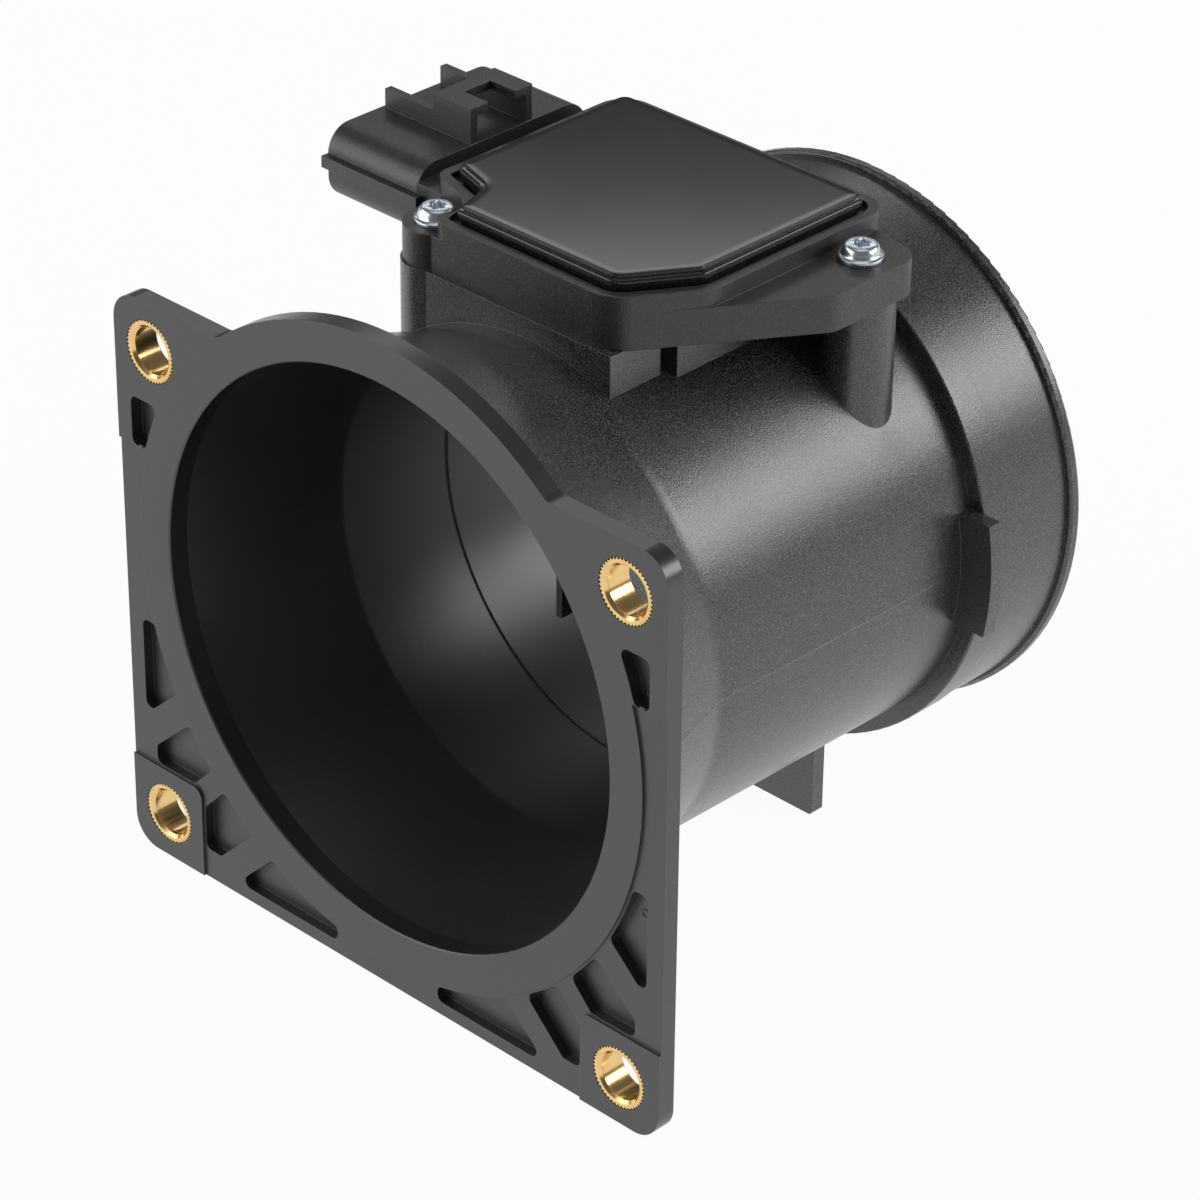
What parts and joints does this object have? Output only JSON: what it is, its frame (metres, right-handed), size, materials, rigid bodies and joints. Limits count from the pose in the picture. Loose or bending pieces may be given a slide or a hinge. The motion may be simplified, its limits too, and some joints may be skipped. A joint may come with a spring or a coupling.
{
  "type": "mass airflow sensor",
  "caption": "Air tube with a bolted inlet flange and a plug-in hot-element probe that measures the air flowing to an engine.",
  "frame": {"origin": "centre of the four flange bolt holes, on the flange's front face", "axes": "+Y runs with the air from the flange to the outlet, +Z points from the bore to the sensor, and the connector opens towards -X"},
  "size_m": [0.096, 0.0877, 0.098],
  "materials": {
    "tube_plastic": "black glass-filled plastic, satin with a fine grain",
    "case_plastic": "black plastic, fine spark-eroded grain",
    "cover_plastic": "black plastic, satin top with a glossy stepped edge",
    "brass": "bright turned brass with a knurl",
    "zinc_steel": "bright zinc plate with a blue tint",
    "seal_rubber": "matt rubber",
    "tinned_metal": "bright tin plate",
    "board_laminate": "green solder mask",
    "chip_plastic": "moulded epoxy",
    "ceramic": "fired ceramic",
    "glazed_element": "glazed ceramic",
    "pin_metal": "plain drawn wire",
    "bead_resin": "dark resin"
  },
  "bodies": {
    "root": {"air_tube": "tube_plastic", "flange_sleeve_top_left": "brass", "flange_sleeve_top_right": "brass", "flange_sleeve_bottom_left": "brass", "flange_sleeve_bottom_right": "brass", "sensor_case": "case_plastic", "sensor_cover": "cover_plastic", "channel_cover": "case_plastic", "cover_seal": "seal_rubber", "probe_seal": "seal_rubber", "mounting_screw_left": "zinc_steel", "mounting_screw_right": "zinc_steel", "terminal_1": "tinned_metal", "terminal_2": "tinned_metal", "terminal_3": "tinned_metal", "terminal_4": "tinned_metal", "terminal_5": "tinned_metal", "terminal_6": "tinned_metal", "circuit_board": "board_laminate", "signal_chip": "chip_plastic", "heater_transistor": "chip_plastic", "board_capacitors": "ceramic", "board_resistors": "chip_plastic", "hot_element": "glazed_element", "reference_element": "glazed_element", "hot_pin_left": "pin_metal", "hot_pin_right": "pin_metal", "reference_pin_left": "pin_metal", "reference_pin_right": "pin_metal", "air_temperature_bead": "bead_resin", "temperature_lead_left": "pin_metal", "temperature_lead_right": "pin_metal"}
  },
  "joints": []
}
